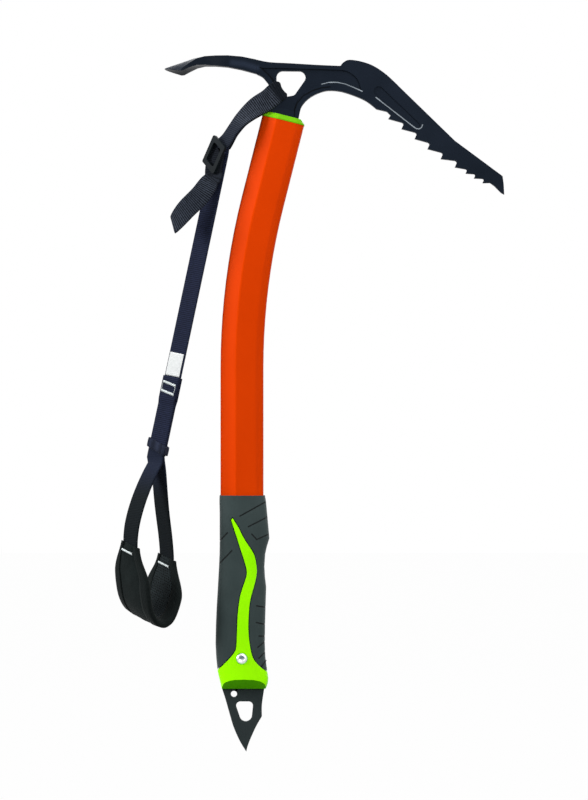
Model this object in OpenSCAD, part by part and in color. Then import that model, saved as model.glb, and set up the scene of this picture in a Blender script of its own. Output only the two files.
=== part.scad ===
// Ice climbing tool with a webbing wrist leash, in millimetres.
// The origin is in the eye of the head. X points to the pick, Y to the far side and Z up.

/* [Head] */
// Thickness of the forging at its rims
head_t = 8; // [7:0.5:10]
// Depth of the recess on each face of the head
recess_depth = 1.1; // [0.5:0.1:1.8]
// Thickness of the pick at its point
pick_tip_t = 4; // [3:0.5:6]
// Depth of the long slot on each face of the pick
pick_slot_depth = 0.7; // [0.3:0.1:1]
// Reach of the pick from the eye
pick_reach = 154.7; // [140:0.1:170]
// Reach of the adze from the eye
adze_reach = 90.5; // [75:0.5:105]
// Width of the adze blade
adze_w = 46; // [36:1:60]
// Length of the tang inside the shaft
tang_len = 55; // [35:1:75]
// Width of the neck and the tang
neck_w = 18; // [15:0.5:20]

/* [Shaft] */
// Width of the tube, seen from the front
shaft_w = 31; // [28:0.5:34]
// Depth of the tube, seen from the side
shaft_d = 20; // [18:0.5:24]
// Wall of the tube
shaft_wall = 1.6; // [1.2:0.1:2.4]
// Angle between the two straight stretches of the shaft
shaft_bend = 14.2; // [8:0.2:18]
// Length of the upper straight stretch
shaft_upper = 60; // [45:1:80]
// Radius of the bend
bend_radius = 490; // [350:5:600]
// Length of the lower straight stretch
shaft_lower = 224; // [190:1:260]
// Height of the collar on the shaft's mouth
collar_h = 4; // [3:0.5:6]

/* [Grip and spike] */
// Length of the grip
grip_len = 132; // [110:1:150]
// Wall of the grip on the front and back faces
grip_wall = 2.8; // [2:0.1:4]
// Height of the end cap below the shaft
cap_h = 7.5; // [6:0.5:10]
// Groove between the grip and the tongue of the cap
tongue_groove = 0.6; // [0.3:0.1:1]
// Thickness of the spike plate
spike_t = 4; // [3:0.5:6]
// Diameter of the round hole in the spike
spike_hole_d = 4.5; // [3:0.5:6]
// Length of the spike below the cap
spike_len = 45.5; // [38:0.5:55]
// Diameter of the rivet's shank
rivet_d = 5; // [4:0.5:6]
// Diameter of the rivet's heads
rivet_head_d = 8; // [7:0.5:9]

/* [Leash] */
// Width of the webbing
strap_w = 15; // [13:0.5:16]
// Thickness of the webbing
strap_t = 1.5; // [1.2:0.1:2]
// Lean of the strap away from upright
leash_lean = 12; // [8:0.5:16]
// Turn of the strap about its own length
leash_twist = 37; // [30:1:50]
// Length of the strap from the buckle to the keeper
strap_len = 214; // [180:1:240]
// Length of the free tail below the buckle
tail_len = 45.5; // [35:0.5:60]
// Length of the buckle
buckle_l = 23.4; // [21:0.2:28]
// Slope of the buckle's bars on the strap
buckle_skew = 33; // [24:1:40]
// Length of the label
label_l = 17; // [10:0.5:20]

/* [Wrist loop] */
// Length of the two legs, from keeper to cuff
leg_len = 74.5; // [60:0.5:85]
// Lean of the wrist loop away from upright
loop_lean = 5; // [0:0.5:8]
// Turn of the wrist loop about its own length
loop_twist = 45; // [35:1:55]
// Drop of the near edge of the loop, as an angle
loop_shear = 14; // [0:1:18]
// Drop of the far half of the loop, as an angle
loop_tilt = 12; // [0:1:18]
// Half of the opening of the cuff at its top
cuff_half = 18.5; // [15:0.5:23]
// Height of the cuff
cuff_h = 46.5; // [40:0.5:60]
// Width of the cuff in the middle
cuff_w = 33; // [28:0.5:40]
// Width of the cuff at its ends
cuff_end_w = 14.5; // [13:0.5:26]
// Thickness of the foam in the cuff
foam_t = 4.6; // [3:0.2:7]
// Height of the keeper
keeper_h = 6.5; // [4:0.5:8]

/* [Fits] */
// Gap between bonded or sewn pieces
fit = 0.06; // [0.04:0.01:0.1]
// Gap between pieces that slide or turn on each other
run_gap = 0.35; // [0.3:0.05:0.5]

/* [Hidden] */
$fn = 48;

// Smooth curve through the points of a list, with n steps between neighbours
function curve(p, n) =
    concat(
        [for (i = [0:len(p) - 2]) for (k = [0:n - 1]) on_curve(p, i, k / n)],
        [p[len(p) - 1]]
    );
function at(p, i) = p[min(max(i, 0), len(p) - 1)];
function on_curve(p, i, t) =
    0.5 * (2 * p[i] + (at(p, i + 1) - at(p, i - 1)) * t
        + (2 * at(p, i - 1) - 5 * p[i] + 4 * at(p, i + 1) - at(p, i + 2)) * t * t
        + (3 * p[i] - at(p, i - 1) - 3 * at(p, i + 1) + at(p, i + 2)) * t * t * t);
function unit(v) = v / norm(v);
function mix(a, b, t) = a + (b - a) * t;
function smooth(t) = t * t * (3 - 2 * t);

// Turns of a point about Y and about Z
function turn_y(a, p) = [p.x * cos(a) + p.z * sin(a), p.y, p.z * cos(a) - p.x * sin(a)];
function turn_z(a, p) = [p.x * cos(a) - p.y * sin(a), p.x * sin(a) + p.y * cos(a), p.z];

// Children on the near side for -1, on the far side for 1
module on_side(side) {
    mirror([0, side < 0 ? 1 : 0, 0])
        children();
}

// Solid skin over rings of equal length; each ring runs along one face and back along the other
module skin(rings) {
    m = len(rings);
    c = len(rings[0]);
    h = c / 2;
    last = (m - 1) * c;
    start_cap = [for (j = [0:h - 2]) each [[j, j + 1, c - 1 - j], [j + 1, c - 2 - j, c - 1 - j]]];
    last_cap = [for (f = start_cap) [last + f[0], last + f[2], last + f[1]]];
    sides = [
        for (i = [0:m - 2])
            for (j = [0:c - 1])
                let (a = i * c + j, b = i * c + (j + 1) % c)
                    each [[a, a + c, b], [b, a + c, b + c]]
    ];
    polyhedron(points = [for (r = rings) each r], faces = concat(start_cap, sides, last_cap), convexity = 8);
}

// Ring of a flat band: centre, half width, half thickness and the rise of its edges
function band_ring(o, w, n, cup) =
    concat(
        [for (u = [-1, -0.5, 0, 0.5, 1]) o + w * u + n + unit(n) * cup * u * u],
        [for (u = [1, 0.5, 0, -0.5, -1]) o + w * u - n + unit(n) * cup * u * u]
    );

// Frame of the shaft's mouth: its Z runs up the upper stretch of the shaft
mouth = [-5, 0, -27.5];
module at_mouth() {
    translate(mouth)
        rotate([0, shaft_bend, 0])
            children();
}
function mouth_to_tool(p) = mouth + turn_y(shaft_bend, p);

// Frame of the shaft's lower end, upright, with its origin at the end of the tube
bend_top = mouth_to_tool([0, 0, -shaft_upper]);
butt = [
    bend_top.x - bend_radius * (1 - cos(shaft_bend)),
    0,
    bend_top.z - bend_radius * sin(shaft_bend) - shaft_lower
];
module at_butt() {
    translate(butt)
        children();
}

// Corner b between a and c as an arc of radius r in n steps
function round_corner(a, b, c, r, n) =
    let (
        u = unit(a - b),
        v = unit(c - b),
        half = acos(u * v) / 2,
        o = b + unit(u + v) * r / sin(half),
        from = b + u * r / tan(half) - o,
        to = b + v * r / tan(half) - o
    )
    [
        for (k = [0:n])
            let (q = from * sin((180 - 2 * half) * (1 - k / n)) + to * sin((180 - 2 * half) * k / n))
                o + q / sin(180 - 2 * half)
    ];
// Section of the tube: flat faces, a slanted facet on the left and round corners on the right
function half_section(w, d) =
    let (
        nose = [-w / 2, 0.16 * d],
        facet = [-0.145 * w, d / 2],
        side = [w / 2, d / 2]
    )
    concat(
        round_corner([nose.x, -nose.y], nose, facet, 0.2 * d, 4),
        round_corner(nose, facet, side, 0.15 * d, 2),
        round_corner(facet, side, [side.x, -side.y], 0.3 * d, 7)
    );
function section(w, d) =
    let (h = half_section(w, d), n = len(h))
        concat(h, [for (k = [n - 1:-1:0]) [h[k].x, -h[k].y]]);
module tube_2d(w, d) {
    polygon(section(w, d));
}
tube_w = shaft_w - 2 * shaft_wall;
tube_d = shaft_d - 2 * shaft_wall;

// Head: outlines in the plane of the tool
neck_right = 10.4;
neck_left = neck_right - neck_w;
neck_foot = collar_h + 1.3;
neck_web = 3.6;
function flat(p) = [p.x, p.z];
// The pick beyond its root grows with its reach
pick_from = 40;
pick_grow = (pick_reach - pick_from) / 114.7;
function on_pick(p) = p.x > pick_from ? [pick_from + (p.x - pick_from) * pick_grow, p.y * pick_grow] : p;
tooth_tips = [
    [71, -26], [80.5, -33.3], [90, -40.5], [99.3, -47.8], [108.8, -55],
    [119, -61], [126.8, -65.5], [132.8, -69], [139, -72.4]
];
function tooth_size(i) = i > 5 ? 0.65 : 1;
tooth_edge = [
    for (i = [8:-1:1])
        each [
            tooth_tips[i],
            tooth_tips[i] + tooth_size(i) * [1.4, 3.2],
            tooth_tips[i] + tooth_size(i) * [1.1, 4.1],
            tooth_tips[i] + tooth_size(i) * [0, 4.7]
        ]
];
top_edge = curve([[-24, 16.6], [-15, 14.8], [0, 14], [20, 12.8], [36, 12.1]], 3);
hump_edge = curve([[36.6, 12.3], [38.5, 14.6], [43, 16.5], [52.5, 15], [61, 11.7], [70, 5.5], [80, -4]], 4);
pick_edge = [
    [119, -41.8], [153.5, -67.3], [154.3, -73], [154.7, -80.7], [152.5, -79.5], [147.5, -74.5], [144.5, -72.3]
];
arch_edge = curve(
    [
        [62.5, -19], [55, -13.2], [45, -8.8], [35, -6], [25, -6], [15, -10.3], [8.5, -17],
        flat(mouth_to_tool([neck_right, 0, neck_foot]))
    ],
    4
);
neck_edge = curve(
    [
        flat(mouth_to_tool([neck_left - neck_web, 0, collar_h + 0.2])),
        [-10.3, -14], [-12.3, -8], [-15, -2], [-17.5, 1.5], [-20, 4.2], [-24, 6.2]
    ],
    4
);
head_edge = concat(
    top_edge, hump_edge, pick_edge, tooth_edge,
    [tooth_tips[0], [72.7, -23.5], [70, -20.8]],
    arch_edge, neck_edge
);
head_outline = [for (p = head_edge) on_pick(p)];

module eye_2d() {
    hull() {
        translate([-5.2, 4])
            circle(r = 4.5);
        translate([6.6, 3.8])
            circle(r = 4.6);
        translate([1.2, -6])
            circle(r = 3.4);
        translate([-2.2, -6.6])
            circle(r = 3.4);
        translate([-6.3, 0])
            circle(r = 3.4);
    }
}

recess_edge = concat(
    curve([[-20.5, 10.6], [-10, 10.6], [10, 10], [30, 9.4], [41, 8.4], [48.5, 3], [51.5, -5]], 3),
    curve(
        [[46, -3.6], [38, -0.6], [31, 0.5], [24, -0.8], [16, -3.6], [9, -9], [4.8, -14.5], [3.4, -20.6]],
        3
    ),
    curve([[-7.2, -18.2], [-7.2, -14], [-9.5, -8], [-12.2, -1], [-15.2, 5.2]], 3)
);
module recess_2d() {
    polygon([for (p = recess_edge) on_pick(p)]);
}

// Blade of the adze: rows of [x, top, bottom, half width, sweep of the edge, droop of the sides]
adze_rows = [
    [-18.5, 14.6, 4.8, 0.14, 0, 0],
    [-25, 16.9, 6.7, 0.17, 0, 0],
    [-35, 18.9, 9.4, 0.18, 0, 0],
    [-45, 19.7, 11.4, 0.2, 0, 0],
    [-54, 19.5, 12.2, 0.26, 0.4, 0],
    [-63, 18.7, 12.5, 0.42, 1.6, 0],
    [-71, 17, 12.2, 0.72, 4, 0.4],
    [-79, 14.2, 11, 0.93, 6.6, 1.4],
    [-86, 12, 9.9, 1, 9, 2.6],
    [-90.5, 10.4, 9.7, 0.97, 11.5, 2.6]
];
adze_from = adze_rows[0][0];
adze_grow = (adze_reach + adze_from) / 72;
function adze_point(r, v, z) =
    [
        adze_from + (r[0] - adze_from + r[4] * v * v) * adze_grow,
        r[3] * v * adze_w / 2,
        z - r[5] * v * v
    ];
module adze() {
    skin([
        for (r = adze_rows)
            concat(
                [for (v = [-1:0.25:1]) adze_point(r, v, r[1])],
                [for (v = [1:-0.25:-1]) adze_point(r, v, r[2])]
            )
    ]);
}

// Frame of the pick: X runs down the pick
pick_root = [on_pick([58, 3]).x, 0, on_pick([58, 3]).y];
pick_slope = 43.5;
pick_run = 128 * pick_grow;
pick_taper = atan((head_t - pick_tip_t) / 2 / pick_run);

module head() {
    color("#262d38")
        difference() {
            union() {
                rotate([90, 0, 0])
                    linear_extrude(head_t, center = true)
                        polygon(head_outline);
                at_mouth()
                    translate([neck_left, -head_t / 2, -tang_len])
                        cube([neck_w, head_t, tang_len + neck_foot]);
                adze();
            }
            rotate([90, 0, 0])
                linear_extrude(3 * head_t, center = true)
                    eye_2d();
            for (s = [-1, 1]) {
                translate([0, s * head_t / 2, 0])
                    rotate([90, 0, 0])
                        linear_extrude(2 * recess_depth, center = true)
                            recess_2d();
                translate(pick_root)
                    rotate([0, pick_slope, 0])
                        on_side(s)
                            translate([0, head_t / 2, -pick_run / 2])
                                rotate([0, 0, -pick_taper])
                                    cube([1.2 * pick_run, head_t, pick_run]);
                pick_slot(s);
            }
        }
}

// Long bare slot sunk into one face of the pick, following its taper
module pick_slot(side) {
    slot_w = 7.5 * pick_grow;
    slot_len = 36 * pick_grow;
    translate(pick_root)
        rotate([0, pick_slope, 0])
            on_side(side)
                translate([0, head_t / 2, 0])
                    rotate([0, 0, -pick_taper])
                        translate(pick_grow * [10.9, 0, -2.8])
                            rotate([90, 0, 0])
                                linear_extrude(2 * pick_slot_depth, center = true) {
                                    translate([0, -slot_w / 2])
                                        square([slot_len, slot_w]);
                                    for (x = [0, slot_len])
                                        translate([x, 0])
                                            circle(d = slot_w);
                                }
}

// Collar: a bevelled ring round the neck, on the end of the tube
collar_bevel = 6;
collar_rim = 0.8;
collar_lip = 0.4;
module head_collar() {
    color("#8fe000")
        at_mouth()
            difference() {
                hull() {
                    translate([0, 0, fit])
                        linear_extrude(collar_rim)
                            tube_2d(shaft_w + collar_lip, shaft_d + collar_lip);
                    translate([0, 0, collar_h - collar_lip])
                        linear_extrude(collar_lip)
                            tube_2d(shaft_w - collar_bevel, shaft_d - collar_bevel);
                }
                translate([neck_left - fit, -head_t / 2 - fit, -1])
                    cube([neck_w + 2 * fit, head_t + 2 * fit, collar_h + 2]);
            }
}

// Bonded filler between the tang and the tube
module tang_sleeve() {
    color("#3a3d40")
        at_mouth()
            translate([0, 0, -tang_len])
                linear_extrude(tang_len - 0.5)
                    difference() {
                        tube_2d(tube_w - 2 * fit, tube_d - 2 * fit);
                        translate([neck_left - fit, -head_t / 2 - fit])
                            square([neck_w + 2 * fit, head_t + 2 * fit]);
                    }
}

// Bent bar of the tube's section along the line of the shaft, longer by over at both ends
bend_steps = 10;
function bend_point(a) = butt + [bend_radius * (1 - cos(a)), 0, shaft_lower + bend_radius * sin(a)];
module bent_bar(w, d, over) {
    ring = [for (p = section(w, d)) [p.x, p.y, 0]];
    skin(concat(
        [[for (p = ring) mouth_to_tool(p + [0, 0, over])]],
        [
            for (k = [bend_steps:-1:0])
                let (a = shaft_bend * k / bend_steps)
                    [for (p = ring) bend_point(a) + turn_y(a, p)]
        ],
        [[for (p = ring) butt + p - [0, 0, over]]]
    ));
}
module shaft() {
    color("#e84202")
        difference() {
            bent_bar(shaft_w, shaft_d, 0);
            bent_bar(tube_w, tube_d, 1);
            at_butt()
                rivet_hole(fit);
        }
}

// Sizes across the grip, the cap and the spike go by the width of the tube
tongue_scale = shaft_w / 31;

// Outer form of grip and cap: rows of [height, swell on the left, swell on the right]
// The heights are shares of the grip's length above the tube's end
grip_rows = [
    [1, 0.7, 1.1], [0.965, 0.8, 1.9], [0.9, 0.6, 2.7], [0.835, 0.6, 3.5], [0.765, 0.6, 4.3], [0.72, 0.6, 2.5],
    [0.68, 0.7, 1.3], [0.61, 1.1, 0.7], [0.555, 1.5, 1.1], [0.5, 1.9, 2], [0.4, 2.7, 1.6], [0.3, 3.3, 1.2],
    [0.19, 3.6, 1], [0.115, 3.1, 1.4], [0.04, 2.1, 2.7], [0, 0.9, 3.5]
];
// Below the tube's end the rows go by the height of the cap
cap_rows = [[-0.45, 0.1, 3.2], [-0.75, -0.4, 2.5], [-1, -0.9, 1.7]];
function squared(t) = sign(t) * pow(abs(t), 0.72);
function grip_ring(z, left, right) =
    let (
        x0 = -shaft_w / 2 - left * tongue_scale,
        x1 = shaft_w / 2 + right * tongue_scale,
        y = shaft_d / 2 + grip_wall
    )
    [
        for (a = [180:-15:-165])
            [(x0 + x1) / 2 + squared(cos(a)) * (x1 - x0) / 2, squared(sin(a)) * y, z]
    ];
module grip_form() {
    skin(concat(
        [for (r = grip_rows) grip_ring(r[0] * grip_len, r[1], r[2])],
        [for (r = cap_rows) grip_ring(r[0] * cap_h, r[1], r[2])]
    ));
}

// Tongue and cap seen from the front; heights are shares of the grip's length
tongue_left = [
    [-7.6, 0.868], [-5.4, 0.815], [-2.9, 0.758], [-0.4, 0.697], [2.1, 0.64], [3.6, 0.591],
    [3.1, 0.553], [-0.4, 0.474], [-1.9, 0.417], [-3, 0.341], [-3.6, 0.227], [-4, 0.174],
    [-5.4, 0.144], [-11.4, 0.091], [-24, 0]
];
tongue_right = [
    [24, 0], [14.6, 0.057], [10.6, 0.087], [8.1, 0.114], [6.6, 0.152], [5.4, 0.205],
    [4.7, 0.28], [5.3, 0.386], [6.6, 0.447], [8.6, 0.5], [10.3, 0.553], [10.8, 0.598],
    [9.6, 0.659], [7.6, 0.697], [4.6, 0.731], [1.1, 0.773], [-2.4, 0.826], [-6.6, 0.877]
];
tongue_points = concat(curve(tongue_left, 3), [[-30, -0.2], [30, -0.2]], curve(tongue_right, 3));
module tongue_2d() {
    polygon([for (p = tongue_points) [p.x * tongue_scale, p.y * grip_len]]);
}
// Bore for the tube, wider by gap all round
module tube_bore(gap) {
    linear_extrude(2 * grip_len)
        tube_2d(shaft_w + 2 * gap, shaft_d + 2 * gap);
}
// The rubber goes on as a thin skin under the tongue
grip_skin = 0.8;

module grip() {
    color("#3c4545")
        at_butt()
            difference() {
                grip_form();
                tube_bore(fit);
                difference() {
                    rotate([90, 0, 0])
                        linear_extrude(4 * shaft_d, center = true)
                            offset(delta = tongue_groove)
                                tongue_2d();
                    tube_bore(fit + grip_skin);
                }
                rivet_hole(fit);
            }
}

// Rivet through cap, tube, plug and tang
rivet_z = 0.111 * grip_len;
rivet_seat = shaft_d / 2 + grip_wall - 0.7;
rivet_head_h = 1.6;
cap_facet_slope = 52;
cap_cut = 2 * shaft_w;
module rivet_hole(gap) {
    translate([0, 0, rivet_z])
        rotate([90, 0, 0])
            cylinder(d = rivet_d + 2 * gap, h = 4 * shaft_d, center = true);
}
// Hole for the shank with a sunk seat for each head, as one turned form
module rivet_seats() {
    hole_r = rivet_d / 2 + fit;
    seat_r = rivet_head_d / 2 + 0.3;
    deep = 2 * shaft_d;
    translate([0, 0, rivet_z])
        rotate([90, 0, 0])
            rotate_extrude()
                polygon([
                    [0, -deep], [seat_r, -deep], [seat_r, -rivet_seat], [hole_r, -rivet_seat],
                    [hole_r, rivet_seat], [seat_r, rivet_seat], [seat_r, deep], [0, deep]
                ]);
}
tang_w = 16;
tang_rise = 36;
module spike_tang(gap) {
    translate([-tang_w / 2 - gap, -spike_t / 2 - gap, -cap_h])
        cube([tang_w + 2 * gap, spike_t + 2 * gap, cap_h + tang_rise]);
}

module end_cap() {
    color("#8fe000")
        at_butt()
            difference() {
                intersection() {
                    grip_form();
                    rotate([90, 0, 0])
                        linear_extrude(4 * shaft_d, center = true)
                            tongue_2d();
                }
                tube_bore(2 * fit + grip_skin);
                translate([0, 0, -1])
                    spike_tang(fit);
                rivet_seats();
                for (s = [-1, 1])
                    on_side(s)
                        translate([-cap_cut / 2, shaft_d / 2 + grip_wall, -0.05 * cap_h])
                            rotate([-cap_facet_slope, 0, 0])
                                translate([0, 0, -cap_cut])
                                    cube([cap_cut, cap_cut, cap_cut]);
            }
}

// Filler in the end of the tube, split by the tang of the spike
module spike_plug() {
    color("#2b2d2e")
        at_butt()
            difference() {
                translate([0, 0, fit])
                    linear_extrude(tang_rise + 4)
                        tube_2d(tube_w - 2 * fit, tube_d - 2 * fit);
                spike_tang(fit);
                rivet_hole(fit);
            }
}

// Spike plate; heights are shares of the spike's length below the cap
spike_left = [[-14.4, 0], [-12, 0.16], [-9.1, 0.385], [-6.1, 0.605], [-1.7, 0.825], [3.1, 1]];
spike_right = [[3.8, 0.934], [5.6, 0.824], [10.1, 0.604], [14.4, 0.44]];
spike_side = [[14.4, 0.44], [14.3, 0.315], [14.7, 0.2], [16.1, 0]];
spike_outline = concat(curve(spike_left, 4), curve(spike_right, 3), curve(spike_side, 3));
function spike_point(p) = [p.x * tongue_scale, -cap_h - fit - p.y * spike_len];
module spike_2d() {
    difference() {
        polygon([for (p = spike_outline) spike_point(p)]);
        translate(spike_point([-5.8, 0.085]))
            circle(d = spike_hole_d);
        hull() {
            for (p = [[-1.2, 0.27], [4.9, 0.27]])
                translate(spike_point(p))
                    circle(r = 3);
            translate(spike_point([2.7, 0.42]))
                circle(r = 4.5);
        }
    }
}
module spike() {
    color("#565b5d")
        at_butt()
            difference() {
                union() {
                    rotate([90, 0, 0])
                        linear_extrude(spike_t, center = true)
                            spike_2d();
                    translate([0, 0, -2 * fit])
                        spike_tang(0);
                }
                rivet_hole(fit);
            }
}

module spike_rivet() {
    color("#c9cdcc")
        at_butt()
            translate([0, 0, rivet_z])
                rotate([90, 0, 0])
                    rotate_extrude()
                        polygon(concat(
                            [[0, -rivet_seat - rivet_head_h + 0.7]],
                            [[1.4, -rivet_seat - rivet_head_h + 0.5], [2.3, -rivet_seat - rivet_head_h]],
                            [[rivet_head_d / 2 - 0.8, -rivet_seat - rivet_head_h + 0.3]],
                            [[rivet_head_d / 2, -rivet_seat - 0.4], [rivet_head_d / 2, -rivet_seat - fit]],
                            [[rivet_d / 2, -rivet_seat - fit], [rivet_d / 2, rivet_seat + fit]],
                            [[rivet_head_d / 2, rivet_seat + fit], [rivet_head_d / 2, rivet_seat + 0.4]],
                            [[rivet_head_d / 2 - 0.8, rivet_seat + rivet_head_h - 0.3]],
                            [[2.3, rivet_seat + rivet_head_h], [1.4, rivet_seat + rivet_head_h - 0.5]],
                            [[0, rivet_seat + rivet_head_h - 0.7]]
                        ));
}

// Frame of the strap: origin at the buckle, X across the webbing, Z up the strap
strap_at = [-50.7, -3, -53.3];
function strap_to_tool(p) = strap_at + turn_y(leash_lean, turn_z(-leash_twist, p));
module at_strap() {
    translate(strap_at)
        rotate([0, leash_lean, 0])
            rotate([0, 0, -leash_twist])
                children();
}
// Frame of the wrist loop: origin at the keeper
loop_at = strap_to_tool([0, 0, -strap_len]);
function loop_to_tool(p) = loop_at + turn_y(loop_lean, turn_z(-loop_twist, p));
// Drop of the far half of the loop, by a share
function tilted(p, share) = [p.x, p.y, p.z - p.y * tan(loop_tilt) * share];

// Loop of the leash round the bar between the eye and the neck
bar_along = [0.528, 0, -0.849];
bar_out = [-0.849, 0, -0.528];
bar_mid = [-6.92, 0, -5.39];
bar_y = head_t / 2 + run_gap + strap_t / 2;
bar_in = run_gap + strap_t / 2;
strap_top = buckle_l / 4;
layer_y = strap_t + fit;
tail_y = strap_t + run_gap;
front_end = strap_to_tool([0, -tail_y, strap_top]);
rear_end = strap_to_tool([0, 0, strap_top]);
front_run = [
    bar_mid + bar_out * 4.6 + [0, -bar_y, 0],
    [-16, -bar_y, -12.4], [-25.2, -bar_y, -18], [-34.6, -bar_y, -26.1],
    [-41.1, -bar_y, -34.1], [-45.9, -bar_y + 0.3, -41.2], front_end
];
rear_run = [
    bar_mid + bar_out * 4.6 + [0, bar_y, 0],
    [-16, bar_y + 1, -12.4], [-25.2, bar_y + 1.6, -18], [-34.5, bar_y - 1.2, -26.2],
    [-40.5, bar_y - 4.2, -34.4], [-45, bar_y - 6.6, -41.5], rear_end
];
bight = [
    bar_mid + bar_out * 1.2 + [0, bar_y - 0.2, 0],
    bar_mid - bar_out * bar_in * 0.75 + [0, bar_y - 1.4, 0],
    bar_mid - bar_out * bar_in + [0, head_t / 4, 0],
    bar_mid - bar_out * bar_in - [0, head_t / 4, 0],
    bar_mid - bar_out * bar_in * 0.75 - [0, bar_y - 1.4, 0],
    bar_mid + bar_out * 1.2 - [0, bar_y - 0.2, 0]
];
loop_path = curve(concat([for (i = [6:-1:0]) rear_run[i]], bight, front_run), 3);
loop_last = len(loop_path) - 1;
strap_across = turn_y(leash_lean, turn_z(-leash_twist, [1, 0, 0]));
strap_up = turn_y(leash_lean, [0, 0, 1]);
// In the eye the webbing is squeezed narrower and its edges curl away from the bar.
// Above the buckle it turns its edge to the front, and its rings end in line with the strap
eye_squeeze = 2.7;
eye_curl = 1.2;
edge_turn = 0.66;
function loop_ring(i) =
    let (
        along = i == 0 ? strap_up
            : i == loop_last ? -strap_up
            : unit(loop_path[i + 1] - loop_path[i - 1]),
        from_middle = abs(2 * i / loop_last - 1),
        turned = smooth(max(0, (from_middle - 0.4) / 0.6)),
        in_eye = smooth(max(0, 1 - from_middle / 0.26)),
        edged = smooth(min(1, max(0, (from_middle - 0.46) / 0.3))) * smooth(min(1, (1 - from_middle) / 0.2)),
        raw = mix(bar_along, strap_across, turned) - [0, edge_turn * edged, 0],
        across = unit(raw - along * (raw * along) * (1 - turned)),
        face = unit(cross(across, along)),
        curl = (face * bar_out > 0 ? -eye_curl : eye_curl) * in_eye
    )
    band_ring(loop_path[i], across * (strap_w / 2 - eye_squeeze * in_eye), face * strap_t / 2, curl);
module leash_loop() {
    color("#262c3c")
        skin([for (i = [0:loop_last]) loop_ring(i)]);
}

// Places along the strap, down from the buckle
hinge_at = strap_len - 33.5;
knuckle_r = strap_t + fit;
lap_end = hinge_at - knuckle_r - run_gap;
lap_len = 16;
module leash_strap() {
    color("#262c3c")
        at_strap()
            translate([-strap_w / 2, -strap_t / 2, -lap_end])
                cube([strap_w, strap_t, lap_end + strap_top - fit]);
}

module leash_label() {
    label_t = 0.4;
    label_w = strap_w - 2.2;
    color("#f2f3f3")
        at_strap()
            translate([-label_w / 2, -strap_t / 2 - fit - label_t, -lap_end + lap_len + 0.5])
                cube([label_w, label_t, label_l]);
}

module sewn_lap() {
    color("#20263a")
        at_strap()
            for (s = [-1, 1])
                translate([-strap_w / 2, s * layer_y - strap_t / 2, -lap_end])
                    cube([strap_w, strap_t, lap_len]);
}

tack_t = 0.6;
module lap_tacks() {
    color("#d0d8d8")
        at_strap()
            for (s = [-1, 1])
                for (z = [4.2, 10.8])
                    translate([0, s * (layer_y + strap_t / 2 + fit + tack_t / 2), z - lap_end])
                        rotate([0, 8, 0])
                            cube([strap_w - 3, tack_t, 2], center = true);
}

// Tail: leaves the buckle behind its lower bar and turns its face to the front
tail_start = [0, -tail_y, strap_top - run_gap];
tail_foot = strap_to_tool([0, -tail_y - run_gap, -buckle_l / 2 - 4]);
// Slant and twist of the cut end, growing over the last stretch
tail_cut = 0.48;
tail_curl = 0.9;
tail_dir = [-0.64, -0.1, -0.76];
tail_across = unit([0.76, -0.08, -0.64]);
tail_path = curve(
    [
        strap_to_tool(tail_start), strap_to_tool([0, -tail_y, 0]),
        strap_to_tool([0, -tail_y, -0.5 * buckle_l]), tail_foot,
        tail_foot + tail_dir * tail_len * 0.1,
        tail_foot + tail_dir * tail_len * 0.35 + [0.6, -1.6, -1],
        tail_foot + tail_dir * tail_len * 0.68 + [0, -1.6, 0], tail_foot + tail_dir * tail_len
    ],
    4
);
tail_last = len(tail_path) - 1;
function tail_ring(i) =
    let (
        along = unit(tail_path[min(i + 1, tail_last)] - tail_path[max(i - 1, 0)]),
        turned = smooth(min(1, max(0, (i / tail_last - 0.43) / 0.34))),
        end = max(0, (i / tail_last - 0.76) / 0.24),
        raw = mix(strap_across, tail_across, turned) - [0, tail_curl * end * end, 0],
        across = unit(raw - along * (raw * along)),
        cut = tail_cut * end
    )
    band_ring(tail_path[i], (across + along * cut) * strap_w / 2, cross(across, along) * strap_t / 2, 0);
module leash_tail() {
    color("#262c3c")
        skin([for (i = [0:tail_last]) tail_ring(i)]);
}

// Slider buckle: a slanted frame before the webbing and a split bar behind it, held on one post
side_lean = 14.5;
buckle_mid = [-2.1, 0.5];
frame_half = strap_w / 2;
frame_t = 2.2;
bar_half = frame_half * [cos(buckle_skew), -sin(buckle_skew)];
side_half = 0.46 * buckle_l * [sin(side_lean), cos(side_lean)];
window_w = 0.6;
window_l = 0.66;
buckle_corner = 1.4;
// Slanted frame with rounded corners, its halves scaled by shares
function slanted(across, along, r) =
    let (
        t = bar_half * across,
        u = side_half * along,
        c = [buckle_mid - t - u, buckle_mid + t - u, buckle_mid + t + u, buckle_mid - t + u]
    )
    [for (k = [0:3]) each round_corner(c[(k + 3) % 4], c[k], c[(k + 1) % 4], r, 4)];
post_w = 1.4;
post_l = 4;
post_z = -5;
bar_h = 2.2;
bar_reach = strap_w / 2 - 2;
post_out = strap_w / 2 + run_gap + post_w;
frame_back = tail_y + strap_t / 2 + run_gap;
bar_front = strap_t / 2 + run_gap;
bar_t = 1;
module buckle() {
    color("#17191c")
        at_strap() {
            translate([0, -frame_back, 0])
                rotate([90, 0, 0])
                    linear_extrude(frame_t)
                        difference() {
                            polygon(slanted(1, 1, buckle_corner));
                            polygon(slanted(window_w, window_l, buckle_corner));
                        }
            translate([-post_out, -frame_back - frame_t / 2, post_z - post_l / 2])
                cube([post_w, frame_t / 2 + frame_back + bar_front + bar_t, post_l]);
            translate([-post_out, bar_front, post_z - bar_h / 2])
                cube([post_out + bar_reach, bar_t, bar_h]);
        }
}

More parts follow.
